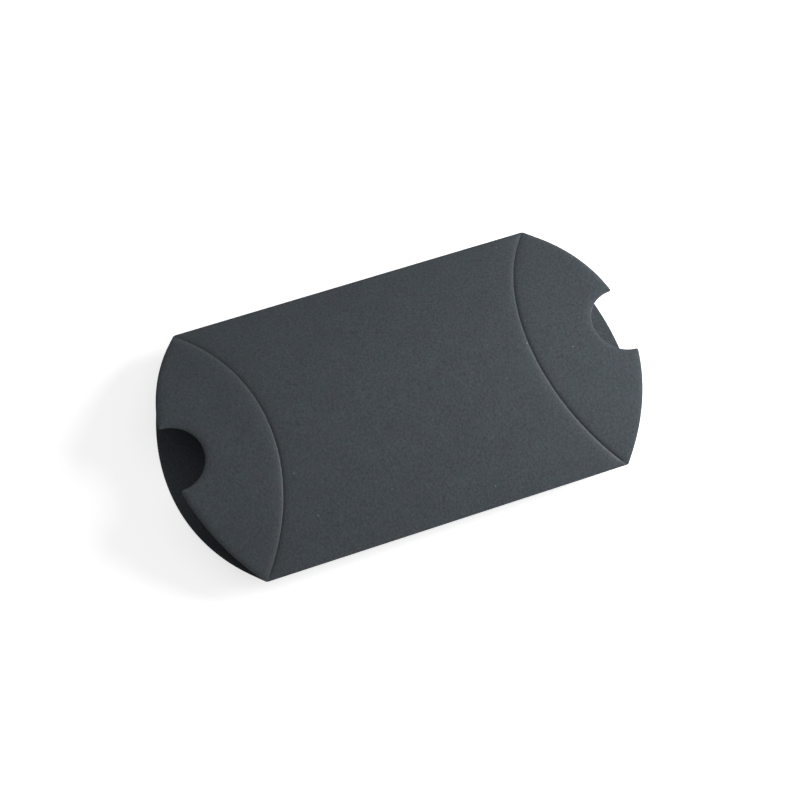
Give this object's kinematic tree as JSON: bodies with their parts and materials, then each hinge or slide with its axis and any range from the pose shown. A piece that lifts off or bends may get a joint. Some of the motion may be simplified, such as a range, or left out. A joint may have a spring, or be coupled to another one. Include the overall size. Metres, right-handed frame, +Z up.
{
  "type": "pillow box",
  "caption": "Pillow-shaped gift box of dark card, popped open: bowed sleeve with side folds, curved creased end flaps that hinge, thumb notches and a glued side seam",
  "frame": {"origin": "on the table under the middle of the box, where the lower panel's crown touches it", "axes": "X across the box between the side folds, Y along the box from the front flaps to the back, Z up"},
  "size_m": [0.064, 0.1118, 0.0142],
  "materials": {
    "card": "matt uncoated solid board",
    "glue": "dried glue film"
  },
  "bodies": {
    "sleeve": {"upper_panel": "card", "lower_panel": "card", "side_fold": "card", "seam_fold": "card", "glue_tab": "card", "glue_line": "glue", "front_upper_crease": "card", "front_lower_crease": "card", "back_upper_crease": "card", "back_lower_crease": "card"},
    "front_upper_flap": {"front_upper_flap": "card"},
    "front_lower_flap": {"front_lower_flap": "card"},
    "back_upper_flap": {"back_upper_flap": "card"},
    "back_lower_flap": {"back_lower_flap": "card"}
  },
  "joints": [
    {"name": "front_upper_flap_fold", "type": "hinge", "parent": "sleeve", "child": "front_upper_flap", "pos_m": [0, -0.0435, 0.0071], "axis": [1, 0, 0], "range_deg": [-12, 22], "stiffness_Nm_per_rad": 0.004},
    {"name": "front_lower_flap_fold", "type": "hinge", "parent": "sleeve", "child": "front_lower_flap", "pos_m": [0, -0.0435, 0.0071], "axis": [-1, 0, 0], "range_deg": [0, 22], "stiffness_Nm_per_rad": 0.004},
    {"name": "back_upper_flap_fold", "type": "hinge", "parent": "sleeve", "child": "back_upper_flap", "pos_m": [0, 0.0435, 0.0071], "axis": [-1, 0, 0], "range_deg": [-12, 22], "stiffness_Nm_per_rad": 0.004},
    {"name": "back_lower_flap_fold", "type": "hinge", "parent": "sleeve", "child": "back_lower_flap", "pos_m": [0, 0.0435, 0.0071], "axis": [1, 0, 0], "range_deg": [0, 22], "stiffness_Nm_per_rad": 0.004}
  ]
}
